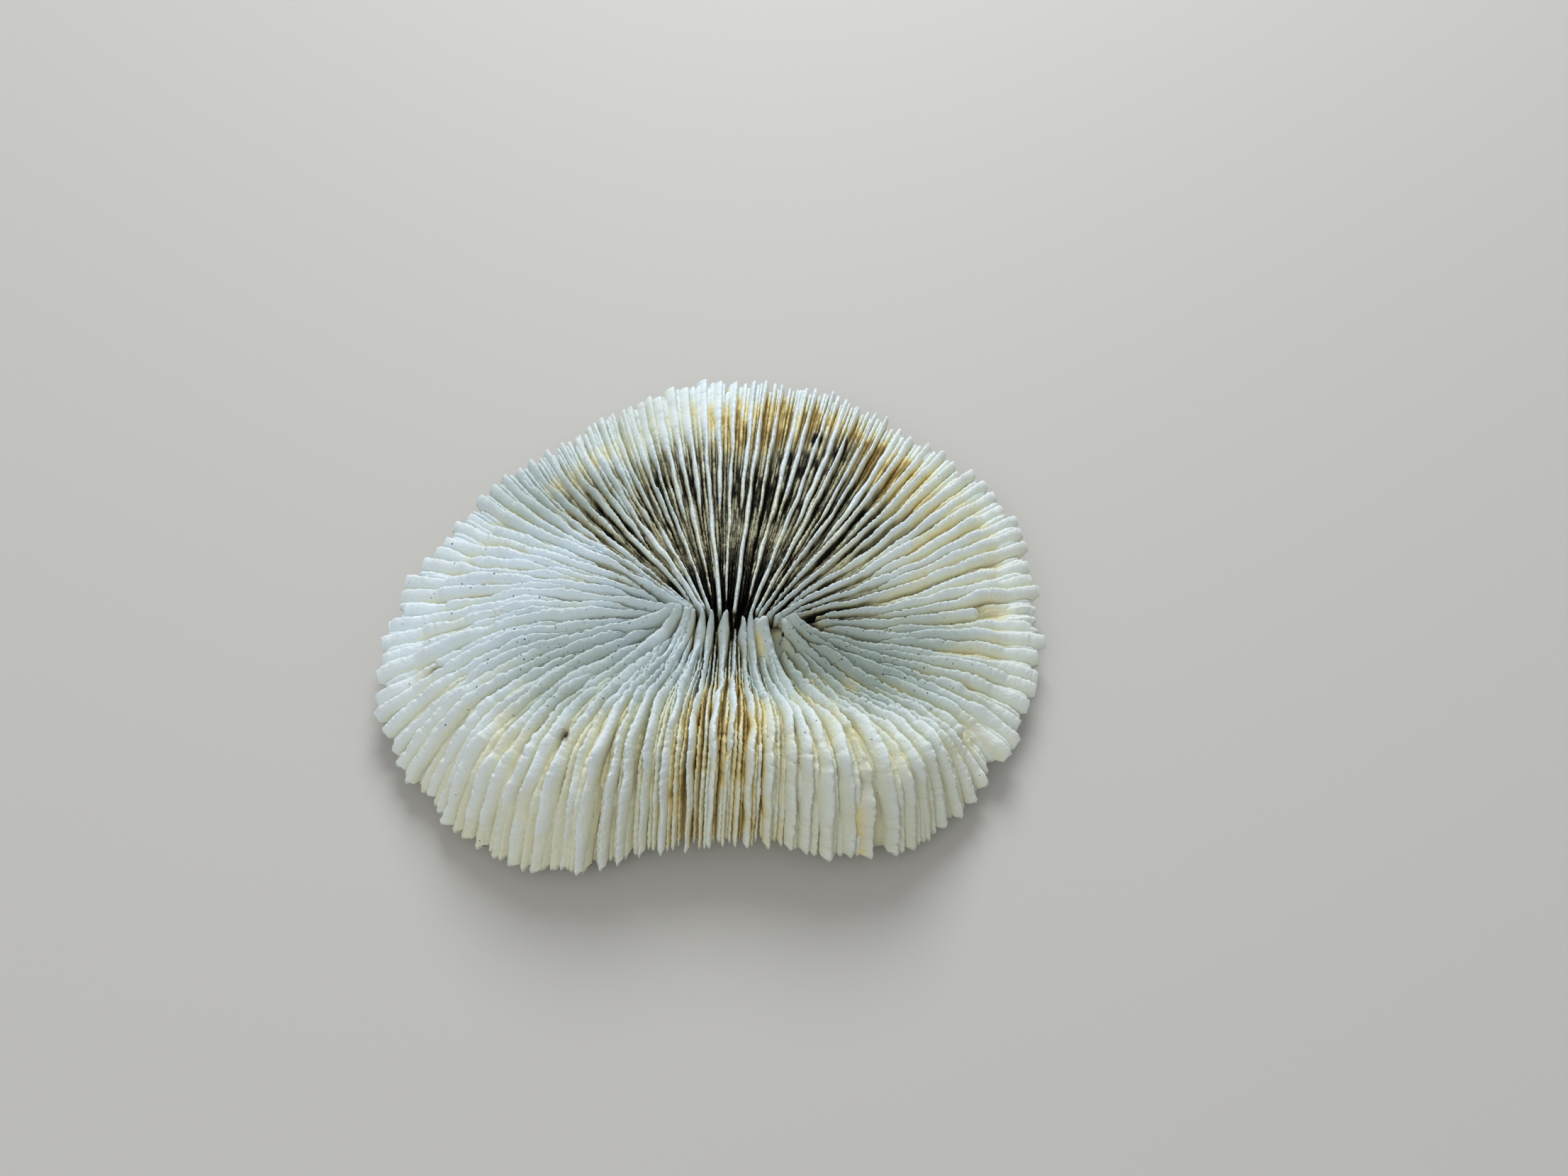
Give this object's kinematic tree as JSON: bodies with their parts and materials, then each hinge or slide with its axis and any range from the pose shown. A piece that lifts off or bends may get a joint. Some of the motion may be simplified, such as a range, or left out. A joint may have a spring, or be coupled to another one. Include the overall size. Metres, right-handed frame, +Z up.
{
  "type": "mushroom coral skeleton",
  "caption": "Single disc-shaped coral skeleton: a low bumpy dome of upright radiating plates round a slit mouth, with a flat resting ring beneath.",
  "frame": {"origin": "centre of the bounding box, on the ground it rests on", "axes": "+Z up from the ground through the domed side, +X along the mouth's slit, -Y towards the short steep side"},
  "size_m": [0.139, 0.1318, 0.0264],
  "materials": {
    "coral_stone": "matt chalky white, cream to straw at the rim"
  },
  "bodies": {
    "root": {"coral_skeleton": "coral_stone"}
  },
  "joints": []
}
